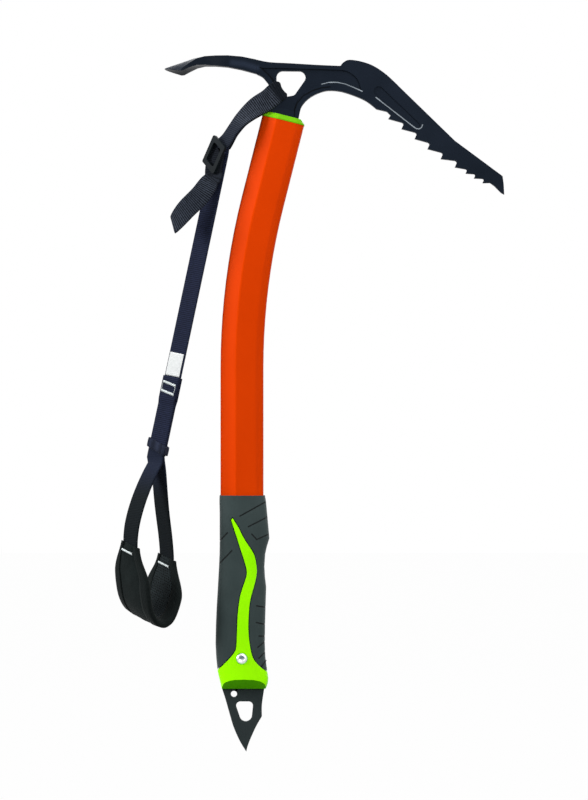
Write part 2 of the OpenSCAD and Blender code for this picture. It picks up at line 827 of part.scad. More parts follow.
// Keeper: a band round the two legs, with slanted ends
keeper_wall = 1;
keeper_size = [strap_w + 2 * run_gap, 2 * (knuckle_r + run_gap)];
keeper_outer = keeper_size + 2 * keeper_wall * [1, 1];
module keeper() {
    color("#14161a")
        at_strap()
            translate([0, 0, -strap_len])
                intersection() {
                    linear_extrude(4 * keeper_h, center = true)
                        difference() {
                            square(keeper_outer, center = true);
                            square(keeper_size, center = true);
                        }
                    rotate([0, loop_shear, 0])
                        cube([2 * strap_w, 2 * strap_w, keeper_h], center = true);
                }
}

// Legs of the wrist loop, as half openings at heights below the keeper
skin_t = 0.8;
leg_start = layer_y / 2;
cuff_top = -leg_len - 1;
stack_end = 1.2 * keeper_h;
leg_points = [
    [leg_start + 0.5, -stack_end - 4], [0.27 * cuff_half, -0.28 * leg_len],
    [0.56 * cuff_half, -0.5 * leg_len], [0.86 * cuff_half, -0.77 * leg_len],
    [0.975 * cuff_half, -0.93 * leg_len], [cuff_half, cuff_top + fit]
];
leg_path = curve(leg_points, 3);
leg_last = len(leg_path) - 1;
// Both legs bow to the near side on their way down
leg_bow = 3;
function bow(z) = leg_bow * sin(180 * (z - leg_points[0].y) / (leg_points[5].y - leg_points[0].y));
// Width of the webbing, slanted by a share of the shear
function slant(share) = [1, 0, -tan(loop_shear * share)];
function leg_ring(i, side) =
    let (
        p = leg_path[i],
        share = smooth(i / leg_last),
        t = i == leg_last ? [0, -1] : unit(leg_path[i + 1] - leg_path[max(i - 1, 0)]),
        w = slant(share) * side * strap_w / 2,
        n = [0, -t.y * side, t.x] * strap_t / 2
    )
    [for (q = band_ring([0, side * p.x - bow(p.y), p.y], w, n, 0)) loop_to_tool(tilted(q, share))];
function stack_ring(z, side) =
    let (w = [side * strap_w / 2, 0, 0], n = [0, side * strap_t / 2, 0])
        [for (q = band_ring([0, side * leg_start, z], w, n, 0)) strap_to_tool(q)];
module leg(side, top) {
    skin(concat(
        [for (z = [top, -strap_len - stack_end]) stack_ring(z, side)],
        [for (i = [0:leg_last]) leg_ring(i, side)]
    ));
}
module wrist_strap_left() {
    color("#262c3c") {
        leg(-1, -hinge_at);
        at_strap()
            translate([0, 0, -hinge_at])
                rotate([0, 90, 0])
                    cylinder(r = knuckle_r, h = strap_w, center = true);
    }
}
module wrist_strap_right() {
    color("#262c3c")
        leg(1, -hinge_at - knuckle_r - fit);
}

// Cuff: a U of foam between an outer shell and a mesh lining
cuff_points = [
    [cuff_half, 0], [0.985 * cuff_half, 0.21], [0.9 * cuff_half, 0.43], [0.78 * cuff_half, 0.65],
    [0.58 * cuff_half, 0.85], [0.3 * cuff_half, 0.965], [0, 1],
    [-0.3 * cuff_half, 0.965], [-0.58 * cuff_half, 0.85], [-0.78 * cuff_half, 0.65],
    [-0.9 * cuff_half, 0.43], [-0.985 * cuff_half, 0.21], [-cuff_half, 0]
];
cuff_path = curve([for (p = cuff_points) [p.x, cuff_top - p.y * cuff_h]], 2);
cuff_last = len(cuff_path) - 1;
function cuff_half_w(i) =
    mix(cuff_end_w, cuff_w, smooth(min(1, 5 * min(i, cuff_last - i) / cuff_last))) / 2;
// Shift of the cuff's middle line where it is wide
cuff_shift = 2.5;
function cuff_mid(i) = cuff_shift * (cuff_half_w(i) - cuff_end_w / 2) / (cuff_w - cuff_end_w) * 2;
// Crown of the pad across its width
function crown(u) = 0.38 + 0.62 * cos(80 * u);
function cuff_normal(i) =
    let (t = unit(cuff_path[min(i + 1, cuff_last)] - cuff_path[max(i - 1, 0)]))
        [-t.y, t.x];
function cuff_place(i, u, v) =
    let (p = cuff_path[i], n = cuff_normal(i), x = cuff_mid(i) + cuff_half_w(i) * u)
        loop_to_tool(tilted([x, p.x + n.x * v, p.y + n.y * v - x * tan(loop_shear)], 1));
across_steps = [-1, -0.7, -0.35, 0, 0.35, 0.7, 1];
module cuff_layer(low_crown, low, high_crown, high) {
    skin([
        for (i = [0:cuff_last])
            concat(
                [for (u = across_steps) cuff_place(i, u, high_crown * crown(u) + high)],
                [for (u = across_steps) cuff_place(i, -u, low_crown * crown(u) + low)]
            )
    ]);
}
module cuff_shell() {
    color("#1e2424")
        cuff_layer(foam_t / 2, fit, foam_t / 2, fit + skin_t);
}
module cuff_pad() {
    color("#4a4d4e")
        cuff_layer(-foam_t / 2, 0, foam_t / 2, 0);
}
module cuff_lining() {
    color("#2a3030")
        cuff_layer(-foam_t / 2, -fit - skin_t, -foam_t / 2, -fit);
}

// Binding: a round-backed strip along each long edge of the cuff
bind_h = crown(1) * foam_t / 2 + fit + skin_t;
function bind_ring(i, side) =
    let (
        w = cuff_half_w(i),
        half = [[fit, 1], [1.1, 0.85], [1.6, 0.3]],
        front = [for (h = half) [1 + h.x / w, h.y * bind_h]],
        back = [for (k = [2:-1:0]) [front[k].x, -front[k].y]]
    )
    [for (q = concat(front, back)) cuff_place(i, side * q.x, q.y)];
module cuff_binding() {
    color("#101314") {
        skin([for (i = [0:cuff_last]) bind_ring(i, 1)]);
        skin([for (i = [cuff_last:-1:0]) bind_ring(i, -1)]);
    }
}

// Bar-tacks that sew the legs into the cuff, following the crown of the shell
tack_drop = 6;
tack_h = 2;
tack_half = strap_w / 2 - 2;
function tack_y(x) = 0.995 * cuff_half + crown(x / cuff_half_w(1)) * foam_t / 2 + skin_t + 3 * fit;
function tack_ring(z, side) =
    let (xs = [for (k = [-1:0.5:1]) side * k * tack_half])
        [
            for (q = concat(
                [for (x = xs) [x, side * (tack_y(x) + tack_t), z]],
                [for (k = [4:-1:0]) [xs[k], side * tack_y(xs[k]), z]]
            ))
                loop_to_tool(tilted(q - [0, 0, q.x * tan(loop_shear)], 1))
        ];
module cuff_tacks() {
    color("#d0d8d8")
        for (s = [-1, 1])
            skin([for (z = [-leg_len - tack_drop, -leg_len - tack_drop - tack_h]) tack_ring(z, s)]);
}

head();
head_collar();
tang_sleeve();
shaft();
grip();
end_cap();
spike_plug();
spike();
spike_rivet();
leash_loop();
leash_strap();
leash_label();
sewn_lap();
lap_tacks();
leash_tail();
buckle();
keeper();
wrist_strap_left();
wrist_strap_right();
cuff_shell();
cuff_pad();
cuff_lining();
cuff_binding();
cuff_tacks();
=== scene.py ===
"""Ice climbing tool with a webbing wrist leash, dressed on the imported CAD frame."""
import math

import bpy
import numpy as np
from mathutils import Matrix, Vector, noise
from mathutils.bvhtree import BVHTree


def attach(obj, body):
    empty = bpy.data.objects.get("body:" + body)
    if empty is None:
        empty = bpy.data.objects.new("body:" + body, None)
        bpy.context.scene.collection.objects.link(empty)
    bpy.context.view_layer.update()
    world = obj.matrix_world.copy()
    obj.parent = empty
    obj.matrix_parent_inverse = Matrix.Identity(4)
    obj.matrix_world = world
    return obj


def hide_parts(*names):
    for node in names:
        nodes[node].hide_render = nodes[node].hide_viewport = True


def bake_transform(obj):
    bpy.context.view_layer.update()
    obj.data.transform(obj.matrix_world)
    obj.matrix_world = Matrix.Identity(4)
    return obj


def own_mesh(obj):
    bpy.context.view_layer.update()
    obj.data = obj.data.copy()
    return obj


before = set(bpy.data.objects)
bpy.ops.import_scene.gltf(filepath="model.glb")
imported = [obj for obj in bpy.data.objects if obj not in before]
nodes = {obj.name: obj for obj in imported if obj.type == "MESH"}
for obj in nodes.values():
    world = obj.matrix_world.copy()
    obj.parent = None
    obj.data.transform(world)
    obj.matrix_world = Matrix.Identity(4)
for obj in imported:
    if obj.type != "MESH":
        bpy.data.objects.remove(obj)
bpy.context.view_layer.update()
MM = 0.001

# Camera, as the photograph is framed (588 x 800, 0.7225 mm a pixel at the tool), in metres
DISTANCE = 3.0
VIEW_HEIGHT, VIEW_X, VIEW_Z = 0.578, 0.00289, -0.229
SENSOR_MM = 36.0
camera_data = bpy.data.cameras.new("camera")
camera_data.sensor_width = SENSOR_MM
camera_data.lens = SENSOR_MM * DISTANCE / VIEW_HEIGHT
camera = bpy.data.objects.new("camera", camera_data)
camera.location = (VIEW_X, -DISTANCE, VIEW_Z)
camera.rotation_euler = (math.radians(90), 0, 0)
bpy.context.scene.collection.objects.link(camera)
bpy.context.scene.camera = camera


# Geometry helpers, in millimetres
def vec(*p):
    return np.array(p, float)


def unit(v):
    return v / np.linalg.norm(v)


def direction(path, i):
    """Unit direction of a path at its point i."""
    return unit(path[min(i + 1, len(path) - 1)] - path[max(i - 1, 0)])


def runs(path):
    """Length along a path up to each of its points."""
    steps = [float(np.linalg.norm(b - a)) for a, b in zip(path, path[1:])]
    return [float(run) for run in np.cumsum([0.0] + steps)]


def curve(points, n):
    """Smooth curve through the points, with n steps between neighbours."""
    p = [np.array(q, float) for q in points]
    last = len(p) - 1
    out = []
    for i in range(last):
        a, b, c, d = p[max(i - 1, 0)], p[i], p[i + 1], p[min(i + 2, last)]
        for k in range(n):
            t = k / n
            out.append(0.5 * (2 * b + (c - a) * t + (2 * a - 5 * b + 4 * c - d) * t * t
                              + (3 * b - a - 3 * c + d) * t ** 3))
    return out + [p[-1]]


def smooth(t):
    t = min(1.0, max(0.0, t))
    return t * t * (3 - 2 * t)


def rise(t, low, high):
    """0 at low and before it, 1 at high and past it, smooth between."""
    return smooth((t - low) / (high - low))


def turn_y(a, p):
    c, s = math.cos(math.radians(a)), math.sin(math.radians(a))
    return vec(p[0] * c + p[2] * s, p[1], p[2] * c - p[0] * s)


def turn_z(a, p):
    c, s = math.cos(math.radians(a)), math.sin(math.radians(a))
    return vec(p[0] * c - p[1] * s, p[0] * s + p[1] * c, p[2])


def mesh_piece(name, points, faces, uvs, materials, face_materials=None):
    """A mesh object from points in millimetres; uvs holds one pair per point."""
    mesh = bpy.data.meshes.new(name)
    mesh.from_pydata([tuple(np.array(p) * MM) for p in points], [], [tuple(f) for f in faces])
    layer = mesh.uv_layers.new(name="UVMap")
    for loop in mesh.loops:
        layer.data[loop.index].uv = uvs[loop.vertex_index]
    for m in materials:
        mesh.materials.append(m)
    for i, polygon in enumerate(mesh.polygons):
        polygon.use_smooth = True
        if face_materials is not None:
            polygon.material_index = face_materials[i]
    mesh.validate()
    obj = bpy.data.objects.new(name, mesh)
    bpy.context.scene.collection.objects.link(obj)
    return obj


def loft(rings, closed_ends=True):
    """Points and faces of a skin over closed rings of equal length."""
    c = len(rings[0])
    points = [q for r in rings for q in r]
    faces = []
    for i in range(len(rings) - 1):
        for j in range(c):
            a, b = i * c + j, i * c + (j + 1) % c
            faces.append((a, b, b + c, a + c))
    if closed_ends:
        last = (len(rings) - 1) * c
        h = c // 2
        for j in range(h - 1):
            faces.append((j, c - 1 - j, c - 2 - j, j + 1))
            faces.append((last + j, last + j + 1, last + c - 2 - j, last + c - 1 - j))
    return points, faces


def add_loft(points, faces, rings):
    """Append the closed skin over the rings to a mesh's points and faces."""
    base = len(points)
    skin, quads = loft(rings)
    points += skin
    faces += [tuple(i + base for i in quad) for quad in quads]


def ring_round(o, side, up, radius, count=6):
    """A ring of points round o, in the plane of side and up."""
    turns = [2 * math.pi * j / count for j in range(count)]
    return [o + (side * math.cos(w) + up * math.sin(w)) * radius for w in turns]


# The leash's frame, with the CAD source's values in millimetres and degrees
STRAP_W, STRAP_T = 15.0, 1.5
LEAN, TWIST, STRAP_LEN = 12.0, 37.0, 214.0
FIT, RUN_GAP, HEAD_T = 0.06, 0.35, 8.0
BUCKLE_L, TAIL_LEN, TAIL_BELOW, TAIL_CUT, TAIL_CURL = 23.4, 45.5, 4.0, 0.48, 0.9
LAP_LEN, LABEL_L, HINGE_UP = 16.0, 17.0, 33.5
LEG_LEN, LEG_BOW = 74.5, 3.0
LOOP_LEAN, LOOP_TWIST, LOOP_SHEAR, LOOP_TILT = 5.0, 45.0, 14.0, 12.0
CUFF_HALF, CUFF_H, CUFF_W, CUFF_END_W, CUFF_SHIFT = 18.5, 46.5, 33.0, 14.5, 2.5
FOAM_T, SKIN_T = 4.6, 0.8
KEEPER_H, KEEPER_WALL = 6.5, 1.0
STRAP_AT = vec(-50.7, -3, -53.3)
Y = vec(0, 1, 0)
SIDES = ((-1, "left"), (1, "right"))


def strap_turned(p):
    return turn_y(LEAN, turn_z(-TWIST, p))


def strap_to_tool(p):
    return STRAP_AT + strap_turned(p)


def loop_turned(p):
    return turn_y(LOOP_LEAN, turn_z(-LOOP_TWIST, p))


def loop_to_tool(p):
    return loop_at + loop_turned(p)


def tilted(p, share=1.0):
    return vec(p[0], p[1], p[2] - p[1] * math.tan(math.radians(LOOP_TILT)) * share)


half_w, half_t = STRAP_W / 2, STRAP_T / 2
strap_across, strap_n = strap_turned(vec(1, 0, 0)), strap_turned(Y)
strap_top = BUCKLE_L / 4
loop_at, loop_n = strap_to_tool(vec(0, 0, -STRAP_LEN)), loop_turned(Y)
shear = math.tan(math.radians(LOOP_SHEAR))
layer_y = STRAP_T + FIT
tail_y = STRAP_T + RUN_GAP
hinge_at = STRAP_LEN - HINGE_UP
knuckle_r = STRAP_T + FIT
lap_end = hinge_at - knuckle_r - RUN_GAP

# Section of woven webbing: flat faces with rounded selvedges, as (across, through) shares
UPPER_FACE = [(-0.985, 0.55), (-0.93, 0.9), (-0.8, 1), (-0.4, 0.97), (0, 0.96),
              (0.4, 0.97), (0.8, 1), (0.93, 0.9), (0.985, 0.55)]
SECTION = [(-1, 0), *UPPER_FACE, (1, 0), *((a, -b) for a, b in UPPER_FACE[::-1])]


def band(name, stations, material, cuts=None):
    """Webbing along stations of (centre, across, half width, half thickness, curl), and its length.

    cuts slants each station along the webbing.
    """
    centres = [station[0] for station in stations]
    along_runs = runs(centres)
    rings, uvs = [], []
    for i, (o, across, w, h, curl) in enumerate(stations):
        along = direction(centres, i)
        across = unit(across - along * float(across @ along))
        face = np.cross(across, along)
        slant = across + along * (cuts[i] if cuts else 0.0)
        rings.append([o + slant * w * a + face * (h * b + curl * a * a) for a, b in SECTION])
        uvs += [(a * w * MM, along_runs[i] * MM) for a, _ in SECTION]
    points, faces = loft(rings)
    return mesh_piece(name, points, faces, uvs, [material]), along_runs[-1]


# Materials
def rgb(*levels):
    """Linear colour of an sRGB one written from 0 to 255."""
    shares = [level / 255 for level in levels]
    return (*(c / 12.92 if c <= 0.04045 else ((c + 0.055) / 1.055) ** 2.4 for c in shares), 1.0)


def pitch(mm):
    """Scale at which a wave repeats every mm; it repeats every 2 pi / (20 scale) metres."""
    return 2 * math.pi / (20 * mm * MM)


class Look:
    """A node material with a few short calls for its texture nodes."""

    def __init__(self, name, roughness=0.5, metallic=0.0, **sockets):
        self.mat = bpy.data.materials.new(name)
        self.mat.use_nodes = True
        self.tree = self.mat.node_tree
        self.shader = self.tree.nodes["Principled BSDF"]
        self.shader.inputs["Roughness"].default_value = roughness
        self.shader.inputs["Metallic"].default_value = metallic
        for key, value in sockets.items():
            self.shader.inputs[key.replace("_", " ")].default_value = value

    def node(self, kind, **values):
        n = self.tree.nodes.new(kind)
        for key, value in values.items():
            setattr(n, key, value)
        return n

    def link(self, a, b):
        self.tree.links.new(a, b)
        return b

    def place(self, uv=False, scale=(1, 1, 1)):
        """Object or UV coordinates, stretched."""
        coord = self.node("ShaderNodeTexCoord")
        mapping = self.node("ShaderNodeMapping")
        mapping.inputs["Scale"].default_value = scale
        self.link(coord.outputs["UV" if uv else "Object"], mapping.inputs["Vector"])
        return mapping.outputs["Vector"]

    def noise(self, place, scale, detail=3.0, rough=0.55):
        n = self.node("ShaderNodeTexNoise")
        n.inputs["Scale"].default_value = scale
        n.inputs["Detail"].default_value = detail
        n.inputs["Roughness"].default_value = rough
        self.link(place, n.inputs["Vector"])
        return n.outputs["Fac"]

    def wave(self, place, scale, axis):
        n = self.node("ShaderNodeTexWave", wave_type="BANDS", bands_direction=axis)
        n.inputs["Scale"].default_value = scale
        self.link(place, n.inputs["Vector"])
        return n.outputs["Fac"]

    def math(self, op, a, b=0.0, clamp=False):
        n = self.node("ShaderNodeMath", operation=op, use_clamp=clamp)
        for socket, value in zip(n.inputs, (a, b)):
            if isinstance(value, (int, float)):
                socket.default_value = value
            else:
                self.link(value, socket)
        return n.outputs["Value"]

    def ramp(self, fac, stops):
        n = self.node("ShaderNodeValToRGB")
        while len(n.color_ramp.elements) < len(stops):
            n.color_ramp.elements.new(0.5)
        for element, (at, colour) in zip(n.color_ramp.elements, stops):
            element.position = at
            element.color = colour
        self.link(fac, n.inputs["Fac"])
        return n.outputs["Color"]

    def mix(self, fac, a, b):
        n = self.node("ShaderNodeMix", data_type="RGBA")
        for socket, value in ((n.inputs[0], fac), (n.inputs[6], a), (n.inputs[7], b)):
            if isinstance(value, (int, float, tuple)):
                socket.default_value = value
            else:
                self.link(value, socket)
        return n.outputs[2]

    def off_lines(self, place, lines, inner, outer):
        """0 on the lines (x, z in millimetres, any depth), 1 beyond the outer distance."""
        split = self.node("ShaderNodeSeparateXYZ")
        self.link(place, split.inputs[0])
        flat = self.node("ShaderNodeCombineXYZ")
        self.link(split.outputs["X"], flat.inputs["X"])
        self.link(split.outputs["Z"], flat.inputs["Z"])
        nearest = None
        for (x0, z0), (x1, z1) in lines:
            a, b = Vector((x0, 0, z0)) * MM, Vector((x1, 0, z1)) * MM
            d = b - a
            away = self.node("ShaderNodeVectorMath", operation="SUBTRACT")
            self.link(flat.outputs[0], away.inputs[0])
            away.inputs[1].default_value = a
            dot = self.node("ShaderNodeVectorMath", operation="DOT_PRODUCT")
            self.link(away.outputs[0], dot.inputs[0])
            dot.inputs[1].default_value = d / d.length_squared
            t = self.math("ADD", dot.outputs["Value"], 0.0, clamp=True)
            foot = self.node("ShaderNodeVectorMath", operation="SCALE")
            foot.inputs[0].default_value = d
            self.link(t, foot.inputs["Scale"])
            rest = self.node("ShaderNodeVectorMath", operation="DISTANCE")
            self.link(away.outputs[0], rest.inputs[0])
            self.link(foot.outputs[0], rest.inputs[1])
            far = rest.outputs["Value"]
            nearest = far if nearest is None else self.math("MINIMUM", nearest, far)
        return self.step(nearest, inner * MM, outer * MM)

    def step(self, value, low, high):
        """0 below low, 1 above high, smooth between."""
        n = self.node("ShaderNodeMapRange", interpolation_type="SMOOTHSTEP")
        n.inputs["From Min"].default_value = low
        n.inputs["From Max"].default_value = high
        self.link(value, n.inputs["Value"])
        return n.outputs["Result"]

    def colour(self, out):
        self.link(out, self.shader.inputs["Base Color"])

    def rough(self, fac, low, high):
        n = self.node("ShaderNodeMapRange")
        n.inputs["To Min"].default_value = low
        n.inputs["To Max"].default_value = high
        self.link(fac, n.inputs["Value"])
        self.link(n.outputs["Result"], self.shader.inputs["Roughness"])

    def bump(self, *heights):
        """Bumps of (height, strength, distance in metres), one on the other."""
        normal = None
        for height, strength, distance in heights:
            n = self.node("ShaderNodeBump")
            n.inputs["Strength"].default_value = strength
            n.inputs["Distance"].default_value = distance
            self.link(height, n.inputs["Height"])
            if normal is not None:
                self.link(normal, n.inputs["Normal"])
            normal = n.outputs["Normal"]
        self.link(normal, self.shader.inputs["Normal"])


# Painted highlights: glints along rims of the head, as lines (x, z) in millimetres
HEAD_GLINT_LINES = [
    ((23, -1), (28, 0.2)), ((28, 0.2), (34, 0.3)), ((34, 0.3), (40, -1)), ((40, -1), (46, -3.4)),
    ((46, -3.4), (52, -6.2)), ((62, -10.6), (89, -31.6)), ((89, -31.6), (91.4, -33.2)),
    ((91.4, -33.2), (93.4, -33.3)), ((93.4, -33.3), (95, -32.2)), ((95, -32.2), (95.6, -30.4)),
]
# Painted shade along the edges of the head's sunk panels
SUNK_EDGE_SHADE_LINES = [
    ((3.2, -24), (3.4, -19.5)), ((3.4, -19.5), (5.2, -14.7)), ((5.2, -14.7), (9.6, -9.5)),
    ((9.6, -9.5), (16, -5.9)), ((16, -5.9), (22.4, -3.8)), ((22.4, -3.8), (29, -3)),
    ((-21.3, 11), (-16.9, 7)), ((-16.9, 7), (-12.9, 3)), ((-12.9, 3), (-10, -2.4)),
]
# Painted sheen on a broad smooth stretch of the adze's arm, which makes it a little lighter
ARM_SHEEN_LINES = [((-41.5, 14.4), (-33, 13.4)), ((-33, 13.4), (-24, 10.6))]
# Painted sheen on the adze's arm and painted shade along the sunk panels' edges, as (lines, inner, outer,
# colour)
HEAD_PAINTED_LIGHT = [(ARM_SHEEN_LINES, 0, 3.8, rgb(36, 44, 58)), (SUNK_EDGE_SHADE_LINES, 0.15, 0.8, rgb(7, 10, 14))]


def coated_steel(name, dark, light, grain=900.0, painted_light=(), glints=()):
    """Steel with a dark satin coat: fine orange peel and slow cloudy variation.

    The fifth argument holds (lines, inner, outer, colour) of painted shade and painted sheen; the sixth
    holds the lines where a bright painted highlight is drawn.
    """
    k = Look(name, roughness=0.4, Specular_IOR_Level=0.04)
    place = k.place()
    cloud = k.noise(place, 18, 4)
    peel = k.noise(place, grain, 2)
    coat = k.ramp(cloud, [(0.3, dark), (0.72, light)])
    # Painted shade and painted sheen along the given lines
    for lines, inner, outer, colour in painted_light:
        coat = k.mix(k.off_lines(place, lines, inner, outer), colour, coat)
    # Painted highlight: bright glints along the given lines, broken up by noise
    if glints:
        patchy = k.math("MULTIPLY", k.noise(place, 160, 3), 0.7)
        whole = k.math("ADD", k.off_lines(place, glints, 0.1, 0.75), patchy, clamp=True)
        coat = k.mix(whole, rgb(172, 182, 190), coat)
    k.colour(coat)
    k.rough(cloud, 0.34, 0.48)
    k.bump((peel, 0.25, 0.0001))
    return k.mat


def painted_tube():
    """Orange lacquer, slightly cloudy."""
    k = Look("orange_tube", roughness=0.45, Specular_IOR_Level=0.015)
    place = k.place()
    cloud = k.noise(place, 14, 4)
    fine = k.noise(place, 1400, 2)
    k.colour(k.ramp(cloud, [(0.25, rgb(203, 57, 1)), (0.75, rgb(212, 61, 2))]))
    k.rough(cloud, 0.36, 0.46)
    k.bump((fine, 0.12, 0.00005))
    return k.mat


def moulded(name, a, b, roughness, grain=1100.0, strength=0.2, specular=0.08, painted_underside_shade=None):
    """Moulded plastic with a fine grain; a last colour, if given, is painted shade on the faces that slope
    down to front or back.
    """
    k = Look(name, roughness=roughness, Specular_IOR_Level=specular)
    place = k.place()
    cloud = k.noise(place, 40, 3)
    fine = k.noise(place, grain, 2)
    base = k.ramp(cloud, [(0.3, a), (0.7, b)])
    # Painted shade: a darker colour on faces that slope down to front or back
    if painted_underside_shade:
        facing = k.node("ShaderNodeSeparateXYZ")
        k.link(k.node("ShaderNodeNewGeometry").outputs["Normal"], facing.inputs[0])
        slope = k.step(k.math("ABSOLUTE", facing.outputs["Y"]), 0.25, 0.5)
        base = k.mix(k.math("MULTIPLY", slope, k.step(facing.outputs["Z"], -0.2, -0.45)), base, painted_underside_shade)
    k.colour(base)
    k.rough(cloud, roughness - 0.05, roughness + 0.07)
    k.bump((fine, strength, 0.00012))
    return k.mat


# Moulded grooves of the grip, as lines (x, z) in millimetres on the front and back faces
GROOVES = [
    ((-36, -312.5), (-18, -302.6)), ((-30, -320.2), (-16.5, -313.4)),
    ((-27.5, -325.5), (-24, -329.4)), ((-24, -329.4), (-16, -326)),
    ((-51, -331), (-45, -324.6)), ((-51, -347), (-41.8, -337.4)),
    ((-24, -377.2), (-15, -379)), ((-24.2, -389.2), (-15, -391.6)),
    ((-22.2, -399), (-17, -399.6)), ((-23.2, -407), (-16.4, -402)), ((-22.4, -415), (-16.4, -409)),
    ((-20.6, -421), (-16, -415.5)),
]


def grip_rubber():
    """Dark rubber with a fine grain and painted shade in its grooves."""
    k = Look("grip_rubber", roughness=0.6, Specular_IOR_Level=0.1)
    place = k.place()
    cloud = k.noise(place, 30, 4)
    fine = k.noise(place, 1300, 2)
    # Painted shade along the grooves
    level = k.off_lines(place, GROOVES, 0.22, 0.75)
    rubber = k.ramp(cloud, [(0.3, rgb(46, 57, 57)), (0.7, rgb(56, 67, 67))])
    k.colour(k.mix(level, rgb(16, 20, 20), rubber))
    k.rough(cloud, 0.52, 0.66)
    k.bump((fine, 0.25, 0.00012))
    return k.mat


WARP_MM = 0.75


def webbing(name, dark, light, rib_mm=1.4, rib_strength=0.9, shades=(), span=(0.25, 0.95)):
    """Woven tape with ribs across and warp yarns along.

    shades holds (from, to, colour, share), which mixes a colour over a stretch given in mm along the tape;
    on the leash's front layer and tail it is painted shade.
    """
    k = Look(name, roughness=0.8, Sheen_Weight=0.05, Sheen_Roughness=0.4, Specular_IOR_Level=0.05)
    place = k.place(uv=True)
    ribs = k.wave(place, pitch(rib_mm), "Y")
    warp = k.wave(place, pitch(WARP_MM), "X")
    speck = k.noise(k.place(), 420, 3)
    slow = k.noise(k.place(), 60, 3)
    height = k.math("ADD", k.math("MULTIPLY", ribs, 0.7), k.math("MULTIPLY", warp, 0.3))
    tone = k.math("ADD", k.math("MULTIPLY", height, 0.62), k.math("MULTIPLY", speck, 0.45))
    base = k.ramp(tone, [(span[0], dark), (span[1], light)])
    base = k.mix(k.math("MULTIPLY", slow, 0.35), base, dark)
    split = k.node("ShaderNodeSeparateXYZ")
    k.link(place, split.inputs[0])
    # Colour over stretches along the tape: painted shade on the leash's front layer and tail
    for start, end, colour, share in shades:
        stretch = k.step(split.outputs["Y"], start * MM, end * MM)
        base = k.mix(k.math("MULTIPLY", stretch, share), base, colour)
    k.colour(base)
    k.rough(speck, 0.7, 0.92)
    k.bump((height, rib_strength, 0.00022), (speck, 0.3, 0.0001))
    return k.mat


def cloth(name, dark, light, pitch_mm=0.7):
    """Plain-woven cloth in the piece's own coordinates, with soft slow shading."""
    k = Look(name, roughness=0.85, Sheen_Weight=0.04, Sheen_Roughness=0.5, Specular_IOR_Level=0.05)
    place = k.place(uv=True)
    height = k.math("MULTIPLY", *(k.wave(place, pitch(pitch_mm), axis) for axis in "XY"))
    slow = k.noise(k.place(), 90, 4)
    fine = k.noise(k.place(), 700, 2)
    tone = k.math("ADD", k.math("MULTIPLY", height, 0.35), k.math("MULTIPLY", slow, 0.7))
    k.colour(k.ramp(tone, [(0.25, dark), (0.85, light)]))
    k.rough(fine, 0.74, 0.95)
    k.bump((slow, 0.35, 0.0008), (height, 0.6, 0.0002))
    return k.mat


MESH_MM = 1.9


def mesh_cloth():
    """Open spacer mesh: small holes, slightly uneven."""
    k = Look("cuff_mesh", roughness=0.85, Sheen_Weight=0.04, Sheen_Roughness=0.5, Specular_IOR_Level=0.05)
    per_metre = 1 / (MESH_MM * MM)
    cells = k.node("ShaderNodeTexVoronoi", feature="F1")
    cells.inputs["Scale"].default_value = 1.0
    cells.inputs["Randomness"].default_value = 0.25
    k.link(k.place(uv=True, scale=(per_metre, per_metre, 1)), cells.inputs["Vector"])
    level = k.step(cells.outputs["Distance"], 0.22, 0.42)
    slow = k.noise(k.place(), 80, 3)
    yarn = k.ramp(slow, [(0.3, rgb(20, 26, 28)), (0.7, rgb(32, 39, 41))])
    k.colour(k.mix(level, rgb(8, 10, 11), yarn))
    k.rough(slow, 0.75, 0.95)
    k.bump((level, 0.8, 0.0004))
    return k.mat


def thread():
    """Pale twisted sewing thread."""
    k = Look("thread", roughness=0.6, Sheen_Weight=0.15, Sheen_Roughness=0.4)
    twist = k.noise(k.place(), 2600, 2)
    k.colour(k.ramp(twist, [(0.3, rgb(178, 188, 188)), (0.7, rgb(226, 232, 232))]))
    k.rough(twist, 0.5, 0.75)
    k.bump((twist, 0.5, 0.0001))
    return k.mat


# Painted shade in the rivet's middle, as a line (x, z) in millimetres
RIVET_SHADE_LINE = [((-35.3, -414.3), (-33.8, -414.1))]


def rivet_steel():
    """Bright turned steel with painted shade in its middle."""
    k = Look("rivet_steel", roughness=0.3, metallic=1.0)
    place = k.place()
    turned = k.noise(place, 1500, 3)
    cloud = k.noise(place, 300, 2)
    silver = k.ramp(cloud, [(0.3, rgb(205, 209, 209)), (0.7, rgb(232, 235, 235))])
    # Painted shade in the rivet's middle
    k.colour(k.mix(k.off_lines(place, RIVET_SHADE_LINE, 0.5, 2.2), rgb(112, 128, 132), silver))
    k.rough(turned, 0.22, 0.4)
    k.bump((turned, 0.12, 0.00005))
    return k.mat


# The head's steel carries painted sheen, painted shade and painted glints
steel = coated_steel("head_steel", rgb(17, 24, 33), rgb(26, 33, 44), painted_light=HEAD_PAINTED_LIGHT, glints=HEAD_GLINT_LINES)
spike_look = coated_steel("spike_steel", rgb(34, 42, 43), rgb(45, 52, 53), 1100)
tube_look = painted_tube()
# The last colour is painted shade on the end cap's downward-sloping faces
lime = moulded("lime_plastic", rgb(150, 252, 2), rgb(158, 255, 5), 0.36, 900, 0.1, 0.015, rgb(92, 196, 3))
# The collar is a darker copy of the lime plastic: painted shade
shaded_collar_lime = moulded("collar_plastic", rgb(98, 168, 14), rgb(122, 196, 20), 0.4, 900, 0.1, 0.015)
resin = moulded("filler_resin", rgb(46, 48, 50), rgb(58, 60, 62), 0.6)
rubber = grip_rubber()
rivet = rivet_steel()
strap_look = webbing("webbing", rgb(13, 17, 30), rgb(38, 44, 68))
COARSE_SPAN = (0.36, 0.76)
